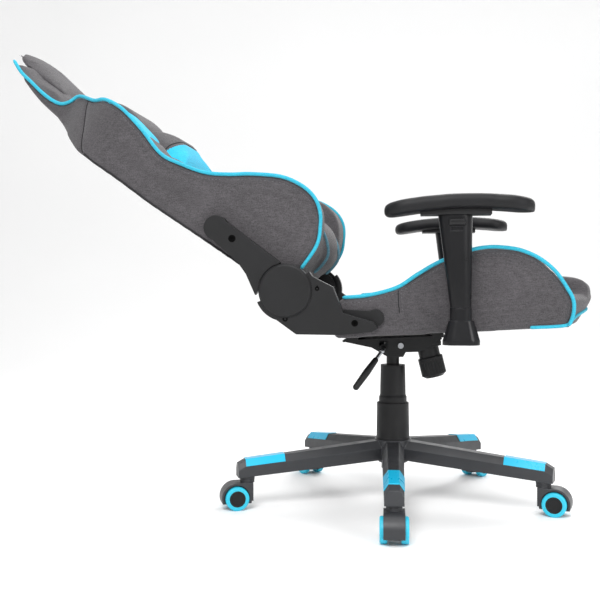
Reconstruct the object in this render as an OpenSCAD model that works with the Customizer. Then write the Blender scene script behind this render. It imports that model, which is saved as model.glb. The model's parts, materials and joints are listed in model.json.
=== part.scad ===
// Reclining gaming chair on a five-leg swivel base.
// Millimetres. The origin is on the floor under the gas lift's axis;
// +X is the chair's front, +Y its left-hand side and +Z up.

/* [Base] */
// Distance from the lift axis to each caster stem
stem_radius = 325; // [300:5:340]
// Turn of the whole base about the lift axis
base_turn = -87.5; // [-180:0.5:180]
// Height of the leg ends' undersides above the floor
leg_end_z = 63; // [62:0.5:66]
// Height of the hub's underside above the floor
hub_z = 94; // [90:1:98]

/* [Casters] */
// Diameter of the caster wheels
wheel_d = 50; // [48:1:52]
// Distance of the wheel axle behind the swivel stem
caster_trail = 24.6; // [20:0.2:26]
// Width over both wheels of a caster
caster_w = 54; // [50:1:56]

/* [Gas lift] */
// Diameter of the lift's outer tube
tube_d = 50; // [49:0.5:50]
// Diameter of the lift's piston rod
rod_d = 28; // [26:0.5:30]
// Height of the top of the outer tube
tube_top = 299; // [290:1:305]

/* [Seat] */
// Upward slope of the seat towards its front
seat_slope = 3.1; // [0:0.1:5]
// Height of the seat's underside above the lift axis
seat_z = 374; // [370:1:380]
// Half of the seat's width
seat_half = 258; // [250:1:258]
// Half of the width between the side bolsters
bucket_half = 150; // [140:1:160]

/* [Back] */
// Lean of the back from the vertical
recline = 55; // [5:1:67]
// Height of the recline hinge
hinge_z = 463; // [460:1:466]
// Distance of the recline hinge behind the lift axis
hinge_back = 196; // [190:1:200]
// Half of the width of the shoulders
back_half = 262; // [255:1:262]

/* [Arms] */
// Distance of each arm's centre from the middle of the chair
arm_y = 302; // [300:1:306]
// Width of the arm pads
pad_w = 88; // [70:1:90]
// Length of the arm pads
pad_l = 280; // [260:1:290]

/* [Hidden] */
$fn = 64;
eps = 0.02;
run = 0.05;          // radial clearance of a running fit
LEGS = 5;
leg_pitch = 360 / LEGS;
wheel_r = wheel_d / 2;
stem_r = 5.5;
axle_r = 3;
tyre_depth = 8;      // radial depth of a wheel's tread
wheel_in = 12.5;     // inner face of each wheel from the caster's middle
hood_half = 20;
hood_r = wheel_r + 7;
hood_top = leg_end_z - 6;
rod_r = rod_d / 2;
tube_r = tube_d / 2;
pivot = [20, 346];       // tilt axis, x and z
lever_at = [-17, 338];   // height lever's bearing, x and z
knob_lean = 13.8;
knob_at = [81, 316];     // top of the knob's ribbed body, x and z
knob_r = 27;
plate_t = 5;             // recliner side plates
upper_plate_y = 265;
lower_plate_y = 271.5;
cap_r = 52;
shaft_r = 8;
cover_y = 264;           // inner face of the recliner covers
lever_pin = [-130, 420]; // recline lever's pivot, x and z
pad_arc = 750;           // radius of the arm pads' arch
pad_centre = [151, -122.6];
pad_t = 28;
post_front = 157;
sleeve_z = 431;
sleeve_top = 603;
slot_y = [112, 142];     // harness slots, across the back
slot_s = [515, 595];     // harness slots, along the back

fabric = [0.34, 0.33, 0.35];
accent = [0.10, 0.74, 0.88];
plastic = [0.21, 0.21, 0.22];
nylon = [0.27, 0.28, 0.30];
steel = [0.12, 0.12, 0.13];
bare = [0.70, 0.71, 0.73];
skin = [0.19, 0.19, 0.21];

SIDES = ["right", "left"];

// ---------------------------------------------------------------- helpers

// Extrudes an outline drawn in X and Z from y0 to y1.
module side(y0, y1) {
    translate([0, y1, 0]) rotate([90, 0, 0]) linear_extrude(y1 - y0) children();
}

// Draws its children on the right (-Y), the left (+Y) or both.
module mirrored(right = true, left = true) {
    if (right) mirror([0, 1, 0]) children();
    if (left) children();
}

// A cylinder along Y at x, z from y0 to y1.
module pin_y(x, z, r, y0, y1) {
    translate([x, y1, z]) rotate([90, 0, 0]) cylinder(r = r, h = y1 - y0);
}

// A round bar between two points.
module bar(a, b, r) {
    d = b - a;
    translate(a) rotate([0, acos(d.z / norm(d)), atan2(d.y, d.x)]) cylinder(r = r, h = norm(d));
}

// A solid through closed sections, each a list of points that turns the same way.
module loft(sections) {
    n = len(sections[0]);
    last = len(sections) - 1;
    walls = [for (k = [0 : last - 1]) for (j = [0 : n - 1])
        [k * n + j, k * n + (j + 1) % n, (k + 1) * n + (j + 1) % n, (k + 1) * n + j]];
    start = [for (j = [n - 1 : -1 : 0]) j];
    end = [for (j = [0 : n - 1]) last * n + j];
    polyhedron([for (s = sections) each s], concat([start, end], walls));
}

// A closed outline from one half of it: points given as half-width and length.
module both_halves(half) {
    n = len(half);
    polygon(concat(half, [for (i = [n - 1 : -1 : 0]) [-half[i].x, half[i].y]]));
}

// Frame of the seat: X along the seat's underside, Z square to it.
module seat_place() {
    translate([0, 0, seat_z]) rotate([0, -seat_slope, 0]) children();
}

// Frame of the back at the hinge: X forward, Z along the back.
module back_place() {
    translate([-hinge_back, 0, hinge_z]) rotate([0, -recline, 0]) children();
}

// Frame of leg i: X out along the leg.
module leg_place(i) {
    rotate([0, 0, base_turn + i * leg_pitch]) children();
}

// Frame of caster i: origin under its stem on the floor, X away from the lift.
module caster_place(i) {
    leg_place(i) translate([stem_radius, 0, 0]) children();
}

// Frame of the tension knob: Z up along its axis, origin on the top of its ribs.
module knob_place() {
    translate([knob_at.x, 0, knob_at.y]) rotate([0, -knob_lean, 0]) children();
}

// ---------------------------------------------------------------- base

// Section of a leg at radius r: half-width, underside, side edge and crown.
function leg_width(r) = 24 - 5 * r / stem_radius;
function leg_low(r) = hub_z + 2 - 27 * r / stem_radius;
function leg_edge(r) = 122 - 30 * r / stem_radius;
function leg_crown(r) = 138 - 33 * r / stem_radius;

// Closed section of a leg at radius r, with its top cut lower by drop.
function leg_section(r, drop = 0) =
    let (w = leg_width(r), low = leg_low(r), edge = leg_edge(r) - drop, crown = leg_crown(r) - drop)
    [[r, -w, low], [r, -w, edge], [r, -w * 0.55, crown], [r, w * 0.55, crown], [r, w, edge],
     [r, w, low]];

module base_star() {
    color(nylon) difference() {
        union() {
            for (i = [0 : LEGS - 1]) leg_place(i)
                loft([leg_section(20), leg_section(stem_radius + 6), leg_section(stem_radius + 21, 7)]);
            for (i = [0 : LEGS - 1]) leg_place(i) translate([stem_radius, 0, leg_end_z])
                cylinder(r = 16, h = 20);
            translate([0, 0, hub_z]) cylinder(r = 40, h = 42);
            translate([0, 0, hub_z - 8]) cylinder(r = 32, h = 10);
        }
        translate([0, 0, hub_z - 20]) cylinder(r = tube_r, h = 80);
        for (i = [0 : LEGS - 1]) leg_place(i) translate([stem_radius, 0, leg_end_z - 1])
            cylinder(r = stem_r + run, h = 26);
    }
}

module base_leg_caps() {
    cap_in = stem_radius - 79;
    cap_out = stem_radius + 5;
    wall = 1.6;
    color(accent) for (i = [0 : LEGS - 1]) leg_place(i) for (s = [-1, 0, 1])
        cap_strip(cap_in, cap_out, wall, s);
}

// One of the three strips of a leg cap: crown (0) or a chamfer (-1 or 1).
module cap_strip(r0, r1, wall, s) {
    glue = 0.06;
    function crown(r) = [leg_width(r) * 0.55, leg_crown(r) + glue];
    function edge(r) = [leg_width(r) + glue, leg_edge(r)];
    function ring(r) = s == 0
        ? [[r, -crown(r).x, crown(r).y], [r, -crown(r).x, crown(r).y + wall],
           [r, crown(r).x, crown(r).y + wall], [r, crown(r).x, crown(r).y]]
        : [[r, crown(r).x, crown(r).y], [r, crown(r).x, crown(r).y + wall],
           [r, edge(r).x + wall * 0.6, edge(r).y + wall * 0.6], [r, edge(r).x, edge(r).y]];
    mirror([0, s == -1 ? 1 : 0, 0]) loft([ring(r0), ring(r1)]);
}

module lift_outer_tube() {
    color(steel) difference() {
        translate([0, 0, 72]) cylinder(r = tube_r, h = tube_top - 72);
        translate([0, 0, 80]) cylinder(r = tube_r - 3, h = tube_top - 40 - 80);
        translate([0, 0, 100]) cylinder(r = rod_r + run, h = tube_top);
    }
}

module lift_cover_lower() {
    low = hub_z + 42;
    color(plastic) difference() {
        union() {
            translate([0, 0, low]) cylinder(r = 36.5, h = 4);
            translate([0, 0, low + 4]) cylinder(r1 = 36, r2 = 35, h = 216 - low - 4);
        }
        translate([0, 0, low - 1]) cylinder(r = 32.5, h = 100);
    }
}

module lift_cover_upper() {
    low = hub_z + 60;
    color(plastic) difference() {
        union() {
            translate([0, 0, low]) cylinder(r = 30.5, h = 228 - low);
            translate([0, 0, 228]) cylinder(r1 = 30.5, r2 = 28.5, h = 5);
            translate([0, 0, 233]) cylinder(r1 = 28.3, r2 = 26.6, h = tube_top - 233);
        }
        translate([0, 0, low - 1]) cylinder(r = tube_r, h = 300);
    }
}

module gas_piston() {
    color(bare) {
        translate([0, 0, 150]) cylinder(r = rod_r, h = 348 - 150);
        translate([0, 0, 348]) cylinder(r = 4, h = 4);
    }
}

// ---------------------------------------------------------------- casters

module caster_fork(i) {
    axle_x = caster_trail;
    color(nylon) caster_place(i) {
        difference() {
            union() {
                // hood over the wheels
                side(-hood_half, hood_half) difference() {
                    union() {
                        translate([axle_x, wheel_r]) circle(r = hood_r);
                        translate([-10, wheel_r - 6]) square([axle_x + 10, hood_top - wheel_r + 6]);
                    }
                    translate([axle_x, wheel_r]) circle(r = wheel_r + 2);
                    translate([-50, -40]) square([120, 54]);
                    translate([-50, hood_top]) square([120, 30]);
                }
                // web between the wheels
                side(-wheel_in + 1, wheel_in - 1) difference() {
                    union() {
                        translate([axle_x, wheel_r]) circle(r = wheel_r + 3);
                        translate([-8, 20]) square([30, hood_top - 20]);
                    }
                    translate([-50, -40]) square([120, 52]);
                    translate([-50, hood_top]) square([120, 30]);
                }
                translate([0, 0, 40]) cylinder(r = 11, h = hood_top - 40);
                translate([0, 0, hood_top - 1]) cylinder(r = 15.5, h = 6.4);
            }
            pin_y(axle_x, wheel_r, axle_r + run, -30, 30);
            // room for the wheels under the hood
            for (s = [-1, 1]) pin_y(axle_x, wheel_r, wheel_r + 2,
                                    min(s * (wheel_in - 1), s * 40), max(s * (wheel_in - 1), s * 40));
        }
        translate([0, 0, leg_end_z - 1]) cylinder(r = stem_r, h = 25);
    }
}

module caster_wheels(i) {
    half = caster_w / 2;
    rim_r = wheel_r - tyre_depth;
    color(plastic) caster_place(i) {
        for (s = [-1, 1]) difference() {
            pin_y(caster_trail, wheel_r, rim_r, min(s * wheel_in, s * half), max(s * wheel_in, s * half));
            pin_y(caster_trail, wheel_r, rim_r - 3, min(s * (half - 1.5), s * (half + 1)),
                  max(s * (half - 1.5), s * (half + 1)));
        }
        pin_y(caster_trail, wheel_r, axle_r, -wheel_in - 1, wheel_in + 1);
    }
}

module caster_tyres(i) {
    half = caster_w / 2;
    rim_r = wheel_r - tyre_depth;
    color(accent) caster_place(i) for (s = [-1, 1]) translate([caster_trail, s * (wheel_in + half) / 2, wheel_r])
        rotate([90, 0, 0]) rotate_extrude() polygon([
            [rim_r, -(half - wheel_in) / 2], [wheel_r - 2, -(half - wheel_in) / 2],
            [wheel_r, -(half - wheel_in) / 2 + 2], [wheel_r, (half - wheel_in) / 2 - 2],
            [wheel_r - 2, (half - wheel_in) / 2], [rim_r, (half - wheel_in) / 2]]);
}

// ---------------------------------------------------------------- mechanism

module mechanism_housing() {
    color(steel) {
        difference() {
            union() {
                difference() {
                    side(-60, 60) polygon([[-44, 340], [-9, 320], [24, 320], [30, 331], [60, 334],
                                           [104, 346], [104, 353], [5, 353]]);
                    side(-57, 57) polygon([[-40, 342], [-8, 324], [22, 324], [28, 335], [60, 338],
                                           [101, 349], [101, 360], [0, 360], [-41, 343]]);
                }
                translate([0, 0, 319]) cylinder(r = 19, h = 30);
                pin_y(lever_at.x, lever_at.y, 8, -60, -50);
                pin_y(pivot.x, pivot.y, 8, -60, 60);
                knob_place() translate([0, 0, 2]) cylinder(r = 23, h = 26);
            }
            translate([0, 0, 300]) cylinder(r = rod_r + run, h = 60);
            pin_y(lever_at.x, lever_at.y, 4 + run, -70, -40);
            pin_y(pivot.x, pivot.y, 5 + run, -70, 70);
            knob_place() translate([0, 0, -1]) cylinder(r = 19.5, h = 24);
            side(-62, 62) polygon([[-60, 345], [5, 353.2], [104, 353.2], [104, 400], [-60, 400]]);
        }
    }
}

module tension_bolt() {
    color(bare) knob_place() {
        translate([0, 0, -22]) cylinder(r = 4, h = 44);
        translate([0, 0, 20]) cylinder(r = 18, h = 2);
    }
}

// Open coil spring round the tension bolt, as one swept tube.
module tension_spring() {
    turns = 5;
    steps = 24;
    sides = 8;
    coil_r = 13;
    wire_r = 1.4;
    rise = 15;
    count = turns * steps;
    function at(k, j) =
        let (a = 360 * k / steps, b = 360 * j / sides, r = coil_r + wire_r * cos(b))
        [r * cos(a), r * sin(a), rise * k / count + wire_r * sin(b)];
    points = [for (k = [0 : count]) for (j = [0 : sides - 1]) at(k, j)];
    skin_faces = [for (k = [0 : count - 1]) for (j = [0 : sides - 1])
        let (n = (j + 1) % sides)
        [k * sides + j, k * sides + n, (k + 1) * sides + n, (k + 1) * sides + j]];
    start = [for (j = [sides - 1 : -1 : 0]) j];
    end = [for (j = [0 : sides - 1]) count * sides + j];
    color(bare) knob_place() translate([0, 0, 3.2]) polyhedron(points, concat([start, end], skin_faces));
}

module tilt_pin() {
    color(bare) difference() {
        union() {
            pin_y(pivot.x, pivot.y, 5, -91, 91);
            pin_y(pivot.x, pivot.y, 6, -94, -90);
            pin_y(pivot.x, pivot.y, 6, 90, 94);
        }
        pin_y(pivot.x, pivot.y, 3, -95, -92.5);
    }
}

module tension_knob() {
    ribs = 24;
    color(plastic) knob_place() difference() {
        union() {
            translate([0, 0, -38]) cylinder(r = knob_r, h = 38);
            translate([0, 0, -44]) cylinder(r1 = knob_r - 8, r2 = knob_r, h = 6);
            translate([0, 0, -0.01]) cylinder(r = 24, h = 1.6);
        }
        for (k = [0 : ribs - 1]) rotate([0, 0, k * 360 / ribs]) translate([knob_r + 0.7, 0, -36])
            cylinder(r = 2, h = 30);
        translate([0, 0, -24]) cylinder(r = 4 + run, h = 30);
    }
}

module lever_rod() {
    y_out = -142;
    color(bare) {
        pin_y(lever_at.x, lever_at.y, 4, y_out, -48);
        bar([lever_at.x, y_out, lever_at.y], [-36, y_out - 14, 312], 3.9);
        translate([lever_at.x, y_out, lever_at.y]) sphere(r = 5);
    }
}

module lever_handle() {
    a = [-30, -151.6, 320];
    b = [-68, -174, 267];
    color(plastic) difference() {
        hull() {
            translate(a) sphere(r = 6, $fn = 24);
            translate(a + 0.45 * (b - a)) sphere(r = 7.5, $fn = 24);
            translate(b) sphere(r = 6.5, $fn = 24);
        }
        lever_rod();
    }
}

// ---------------------------------------------------------------- seat

module tilt_plate() {
    color(steel) difference() {
        union() {
            seat_place() translate([-104, -88, -16]) cube([214, 176, 4]);
            seat_place() for (x = [-96, 84]) translate([x, -88, -12.01]) cube([24, 176, 15.01]);
            for (y = [-88, 84]) side(y, y + 4) polygon([[-103, 354], [-40, 341], [-9, 331],
                [54, 333], [64, 336], [105, 360], [105, 364], [-100, 356]]);
        }
        for (y = [-95, 80]) pin_y(pivot.x, pivot.y, 5, y, y + 15);
        // way out for the height lever's rod
        translate([lever_at.x - 9, -92, 320]) cube([18, 12, 36]);
    }
}

// Box-section frame with two cross bars that the tilt plate bolts to.
module seat_frame() {
    rail = 22;
    outer = [[228, -96], [228, 240], [200, 336]];
    inner = [[228 - rail, -96 + rail], [228 - rail, 238], [184, 336 - rail]];
    color(steel) seat_place() {
        difference() {
            translate([0, 0, 9]) rotate([0, 0, -90]) mirror([1, 0, 0]) linear_extrude(rail) difference() {
                both_halves(outer);
                both_halves(inner);
            }
            seat_bolt_shafts(0);
        }
        for (x = [-94, 84]) translate([x, -220, 3]) cube([22, 440, 6.01]);
    }
}

module seat_webbing() {
    color(steel) seat_place() for (x = [-50 : 62 : 260])
        translate([x, -215, 31]) cube([45, 430, 2]);
}

// Outline of the seat's bolsters, in X and Z of the seat's frame.
module bolster_outline() {
    polygon([[-105, 0], [-104, 62], [-84, 80], [-34, 82], [22, 94], [63, 117], [105, 138], [160, 156],
             [201, 161], [242, 156], [269, 147], [296, 131], [322, 105], [344, 67], [354, 34],
             [352, 0]]);
}

// Outline of the seat's middle.
module seat_middle_outline() {
    polygon([[-105, 0], [-105, 58], [-86, 74], [-50, 80], [100, 82], [250, 88], [350, 98], [385, 94],
             [408, 78], [419, 52], [416, 28], [404, 0]]);
}

module seat_cushion() {
    front_arc = 538;
    color(fabric) seat_place() difference() {
        intersection() {
            union() {
                side(-bucket_half - 1, bucket_half + 1) seat_middle_outline();
                mirrored() side(bucket_half, seat_half) bolster_outline();
                mirrored() translate([340, bucket_half, 0]) cube([60, seat_half - bucket_half, 60]);
            }
            translate([419 - front_arc, 0, 0]) {
                cylinder(r1 = front_arc - 14, r2 = front_arc, h = 45, $fn = 128);
                translate([0, 0, 45]) cylinder(r = front_arc, h = 150, $fn = 128);
            }
        }
        translate([-98, -236, -1]) cube([440, 472, 38]);
        seat_bolt_shafts();
    }
}

module seat_bottom_panel() {
    color(steel) seat_place() difference() {
        translate([-98, -236, 0]) cube([440, 472, 3]);
        for (x = [-96, 84]) translate([x - 1, -90, -1]) cube([26, 180, 10]);
        for (s = [0, 1]) mirror([0, s, 0]) translate([118, 205, -1]) cube([34, 24, 10]);
    }
}

// Bolts through the cushion's sides into the frame's rails.
module seat_bolt_shafts(grow = 1) {
    for (s = [0, 1]) mirror([0, s, 0]) for (x = [-78, -56]) pin_y(x, 20, 4 + grow, 222, 280);
}

module seat_bolts() {
    color(bare) seat_place() for (s = [0, 1]) mirror([0, s, 0]) for (x = [-78, -56]) {
        pin_y(x, 20, 4, 222, lower_plate_y + plate_t);
        pin_y(x, 20, 7, lower_plate_y + plate_t, lower_plate_y + plate_t + 4);
    }
}

// The lower recliner plate from y0 to y1: a disc round the hinge and a foot.
module lower_plate(y0, y1) {
    pin_y(-hinge_back, hinge_z, 44, y0, y1);
    side(y0, y1) polygon([[-225, 440], [-205, 412], [-178, 383], [-45, 381], [-38, 396],
                          [-100, 412], [-130, 438], [-172, 466]]);
}

module recliner_plates_lower() {
    color(steel) difference() {
        union() {
            mirrored() lower_plate(lower_plate_y, lower_plate_y + plate_t);
            pin_y(lever_pin.x, lever_pin.y, 5, -lower_plate_y - 1, -259.4);
        }
        pin_y(-hinge_back, hinge_z, shaft_r, -300, 300);
        seat_place() seat_bolt_shafts(0);
    }
}

module recliner_cover_lower(top) {
    ring = cap_r + 7;
    difference() {
        union() {
            difference() {
                pin_y(-hinge_back, hinge_z, ring, cover_y, 285);
                // the ring stops short of the upper cover's whole travel
                side(cover_y - 1, 286) polygon([[-hinge_back, hinge_z], [-130, 515], [-196, 560],
                                                [-300, 463], [-296, 423]]);
            }
            side(cover_y, 285) polygon(concat(top, [[-84, 420], [-26, 403], [-18, 391], [-30, 384],
                                                    [-86, 378], [-175, 379], [-222, 413], [-196, 440]]));
        }
        pin_y(-hinge_back, hinge_z, cap_r, cover_y - 1, 286);
        lower_plate(cover_y - 1, lower_plate_y + plate_t);
        pin_y(-62, 401, 3.5, 280, 290);
        pin_y(-134, 470, 2.5, 282, 290);
        seat_place() for (x = [-78, -56]) pin_y(x, 20, 7.5, 270, 281.5);
    }
}

module recliner_cover_lower_right() {
    color(plastic) mirrored(true, false) recliner_cover_lower([[-160, 495], [-154, 496], [-104, 470]]);
}

module recliner_cover_lower_left() {
    color(plastic) mirrored(false, true) recliner_cover_lower([[-172, 480], [-166, 476], [-132, 451]]);
}

module recliner_caps() {
    face = lower_plate_y + plate_t;
    color(plastic) mirrored() difference() {
        translate([-hinge_back, face, hinge_z]) rotate([-90, 0, 0]) {
            cylinder(r = cap_r, h = 9.5);
            translate([0, 0, 9.5]) cylinder(r1 = cap_r, r2 = cap_r - 4, h = 4);
        }
        pin_y(-hinge_back, hinge_z, shaft_r + 5, face - 1, face + 6);
    }
}

module recline_shaft() {
    end = lower_plate_y + plate_t;
    color(steel) {
        pin_y(-hinge_back, hinge_z, shaft_r, -end - 5, end + 5);
        mirrored() pin_y(-hinge_back, hinge_z, shaft_r + 4, end, end + 5);
    }
}

module recline_springs() {
    turns = 6;
    wire = 2.4;
    pitch = 2 * wire + 0.5;
    color(steel) mirrored() for (k = [0 : turns - 1])
        translate([-hinge_back, 225 + k * pitch, hinge_z]) rotate([90, 0, 0])
            rotate_extrude() translate([shaft_r + wire + 0.3, 0]) circle(r = wire, $fn = 24);
}

module recline_lever() {
    end = [-24, 410];
    y0 = -263.5;
    y1 = -259.5;
    color(plastic) difference() {
        union() {
            pin_y(lever_pin.x, lever_pin.y, 13, y0, y1);
            pin_y(end.x, end.y, 17, y0, y1);
            side(y0, y1) polygon([lever_pin + [4, 9], end + [-4, 14], end + [-4, -14],
                                  lever_pin + [4, -9]]);
        }
        pin_y(lever_pin.x, lever_pin.y, 5 + run, -300, 0);
    }
}

// ---------------------------------------------------------------- back

// Rear line of the back, shared by its outlines: X forward, Z along the back.
function rear_line() = [[-11, 16], [-14, 195], [-17, 321], [-15, 415], [-17, 515], [-11, 553], [0, 591]];
function head_rear() = [[12, 634], [17, 682], [30, 733]];

module wing_outline() {
    polygon(concat(rear_line(), [[75, 604], [87, 555], [102, 528], [107, 482], [96, 424], [78, 363],
        [84, 317], [98, 266], [146, 190], [175, 138], [184, 96], [180, 62], [165, 37], [141, 19],
        [105, 3], [50, 2], [25, 16]]));
}

module head_side_outline() {
    polygon(concat([[0, 591]], head_rear(), [[53, 768], [57, 775], [45, 746], [40, 715], [35, 684],
        [34, 656], [39, 633], [54, 617], [75, 604]]));
}

// Middle of the back; its upper pad stands no further forward than limit.
module back_middle_outline(limit) {
    pad = [[58, 645], [75, 622], [92, 600], [101, 578], [111, 545], [111, 525], [107, 500], [98, 483]];
    polygon(concat(rear_line(), head_rear(), [[58, 780], [66, 832], [71, 832], [60, 775], [52, 720],
        [52, 660]], [for (p = pad) [min(p.x, limit), p.y]], [[62, 483], [62, 327], [85, 200],
        [112, 110], [134, 50], [128, 25], [112, 8], [85, -3], [50, 2], [25, 16]]));
}

// Front view of the back: half-widths along its height.
module back_front_outline() {
    both_halves([[back_half, -20], [back_half, 470], [250, 515], [215, 560], [178, 600], [165, 640],
                 [165, 776], [142, 793], [118, 805], [80, 818], [40, 836]]);
}

module front_prism() {
    translate([-80, 0, 0]) rotate([90, 0, 90]) linear_extrude(400) back_front_outline();
}

module back_body() {
    middle = 105;
    intersection() {
        union() {
            side(-middle, middle) back_middle_outline(120);
            side(-bucket_half - 1, bucket_half + 1) back_middle_outline(48);
            for (s = [0, 1]) mirror([0, s, 0]) {
                side(bucket_half, back_half) wing_outline();
                side(middle + 5, back_half) head_side_outline();
            }
        }
        front_prism();
    }
}

module harness_slots() {
    for (s = [0, 1]) mirror([0, s, 0])
        translate([-60, slot_y[0], slot_s[0]]) cube([200, slot_y[1] - slot_y[0], slot_s[1] - slot_s[0]]);
}

module back_cushion() {
    color(fabric) back_place() difference() {
        back_body();
        harness_slots();
        translate([-40, -200, 40]) cube([27, 400, 440]);
        back_frame_loop();
        back_bolts(5);
    }
}

// Closed loop of box section inside the back's foam.
module back_frame_loop() {
    outer = [[236, 24], [236, 440], [200, 500]];
    inner = [[214, 46], [214, 434], [190, 478]];
    translate([1, 0, 0]) rotate([90, 0, 90]) linear_extrude(18) difference() {
        both_halves(outer);
        both_halves(inner);
    }
}

// Bolts from the recliner plates into the frame.
module back_bolts(r = 4) {
    for (s = [60, 144]) mirrored() pin_y(10, s, r, 235.5, upper_plate_y);
}

module back_frame() {
    color(steel) back_place() {
        back_frame_loop();
        back_bolts();
    }
}

module back_rear_panel() {
    color(steel) back_place() translate([-17, -200, 40]) cube([4, 400, 440]);
}

// The upper recliner plate from y0 to y1: a disc round the hinge and an arm.
module upper_plate(y0, y1) {
    pin_y(0, 0, 44, y0, y1);
    side(y0, y1) polygon([[-16, 20], [36, 20], [36, 176], [4, 176], [-6, 107]]);
}

module recliner_plates_upper() {
    color(steel) difference() {
        back_place() mirrored() upper_plate(upper_plate_y, upper_plate_y + plate_t);
        pin_y(-hinge_back, hinge_z, shaft_r + run, -300, 300);
    }
}

module recliner_cover_upper() {
    back_place() difference() {
        union() {
            pin_y(22, 183, 24, cover_y, 281);
            side(cover_y, 281) polygon([[44, 183], [39, 40], [-41, 44], [-18, 82], [-9, 107], [0, 183]]);
        }
        pin_y(0, 0, cap_r + 1.5, cover_y - 1, 300);
        upper_plate(cover_y - 1, upper_plate_y + plate_t);
        pin_y(23, 144, 4.5, 277, 290);
    }
}

module recliner_cover_upper_right() { color(plastic) mirrored(true, false) recliner_cover_upper(); }
module recliner_cover_upper_left() { color(plastic) mirrored(false, true) recliner_cover_upper(); }

module head_cushion() {
    crown = 290;
    color(fabric) back_place() intersection() {
        side(-110, 110) polygon([[52, 664], [66, 668], [78, 700], [85, 745], [87, 800], [79, 830],
                                 [71, 832], [60, 775], [52, 720]]);
        translate([87 - crown, 0, 600]) cylinder(r = crown, h = 300, $fn = 128);
        front_prism();
    }
}

module lumbar_pillow() {
    color(fabric) back_place() intersection() {
        pin_y(38, 405, 75, -145, 145);
        translate([-130, 0, 300]) cylinder(r = 250, h = 220, $fn = 128);
        translate([62, -145, 300]) cube([80, 290, 220]);
    }
}

module pillow_straps() {
    w = 20;
    t = 2.5;
    y = 117;
    top = slot_s[0];
    color(steel) back_place() for (s = [0, 1]) mirror([0, s, 0]) {
        translate([48, y, 483]) cube([t, w, top - 483 + t]);
        translate([48, y, 483]) cube([14 + t, w, t]);
        translate([62, y, 478.2]) cube([t, w, 5]);
        translate([-20, y, top]) cube([68, w, t]);
        translate([-20, y, 400]) cube([t, w, top - 400 + t]);
    }
}

// ---------------------------------------------------------------- arms

// Stadium in plan for an arm part that runs from x0 to x1.
module arm_plan(x0, x1, half, z0, z1) {
    for (x = [x0 + half, x1 - half]) translate([x, arm_y, z0]) cylinder(r = half, h = z1 - z0);
    translate([x0 + half, arm_y - half, z0]) cube([x1 - x0 - 2 * half, 2 * half, z1 - z0]);
}

module arm_post() {
    union() {
        hull() {
            arm_plan(103, 172, 22, 362, 370);
            arm_plan(114, 161, 16, 404, 407);
        }
        arm_plan(116, post_front, 16, 406, sleeve_z - 0.4);
        translate([123, arm_y - 9, 420]) cube([28, 18, 155]);
        seat_place() translate([113, 160, -5]) cube([50, 135, 5]);
        seat_place() translate([120, 208, -0.01]) cube([30, 18, 9.01]);
    }
}

module arm_sleeve() {
    difference() {
        hull() {
            arm_plan(117, 156, 16, sleeve_z, sleeve_z + 2);
            arm_plan(95, 158, 22, sleeve_top - 2, sleeve_top);
        }
        translate([123 - run, arm_y - 9 - run, sleeve_z - 1]) cube([28 + 2 * run, 18 + 2 * run, 147]);
        translate([114.5, arm_y + 12, 583.5]) cube([30, 30, 11.5]);
        translate([118, arm_y + 18, 573]) cube([22, 30, 7]);
    }
}

module arm_button() {
    translate([115, arm_y + 15.5, 584]) cube([29, 10, 10.5]);
    translate([117, arm_y + 24, 591]) cube([25, 4, 3.5]);
}

// A disc in the plane of the arm pads' arch.
module arch(r) {
    translate([pad_centre.x, 400, pad_centre.y]) rotate([90, 0, 0]) cylinder(r = r, h = 200, $fn = 360);
}

module arm_plate() {
    intersection() {
        translate([62, arm_y - 25, sleeve_top]) cube([130, 50, 30]);
        arch(pad_arc - pad_t / 2);
    }
}

module arm_pad() {
    intersection() {
        difference() {
            arch(pad_arc + pad_t / 2);
            arch(pad_arc - pad_t / 2);
        }
        arm_plan(132.5 - pad_l / 2, 132.5 + pad_l / 2, pad_w / 2, 560, 660);
    }
}

module arm_post_right() { color(plastic) mirrored(true, false) arm_post(); }
module arm_post_left() { color(plastic) mirrored(false, true) arm_post(); }
module arm_sleeve_right() { color(plastic) mirrored(true, false) arm_sleeve(); }
module arm_sleeve_left() { color(plastic) mirrored(false, true) arm_sleeve(); }
module arm_button_right() { color(plastic) mirrored(true, false) arm_button(); }
module arm_button_left() { color(plastic) mirrored(false, true) arm_button(); }
module arm_plate_right() { color(plastic) mirrored(true, false) arm_plate(); }
module arm_plate_left() { color(plastic) mirrored(false, true) arm_plate(); }
module arm_pad_right() { color(skin) mirrored(true, false) arm_pad(); }
module arm_pad_left() { color(skin) mirrored(false, true) arm_pad(); }

// ---------------------------------------------------------------- assembly

base_star();
base_leg_caps();
lift_outer_tube();
lift_cover_lower();
lift_cover_upper();
gas_piston();
for (i = [1 : LEGS]) {
    caster_fork(i - 1);
    caster_wheels(i - 1);
    caster_tyres(i - 1);
}
mechanism_housing();
tension_spring();
tension_bolt();
tilt_pin();
tension_knob();
lever_rod();
lever_handle();
tilt_plate();
seat_frame();
seat_webbing();
seat_cushion();
seat_bottom_panel();
recliner_plates_lower();
recliner_cover_lower_right();
recliner_cover_lower_left();
recliner_caps();
recline_shaft();
recline_springs();
seat_bolts();
recline_lever();
back_frame();
back_cushion();
back_rear_panel();
recliner_plates_upper();
recliner_cover_upper_right();
recliner_cover_upper_left();
head_cushion();
lumbar_pillow();
pillow_straps();
arm_post_right();
arm_post_left();
arm_sleeve_right();
arm_sleeve_left();
arm_button_right();
arm_button_left();
arm_plate_right();
arm_plate_left();
arm_pad_right();
arm_pad_left();
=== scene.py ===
"""Looks of a reclining gaming chair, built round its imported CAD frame.

Lengths in outlines are millimetres. Places of the back are (h forward, y across, s along it from the hinge);
places of the seat are (x forward, y across, z up from its base).
"""
import json
import math

import bmesh
import bpy
import numpy as np
from mathutils import Matrix, Vector
from mathutils.kdtree import KDTree


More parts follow.
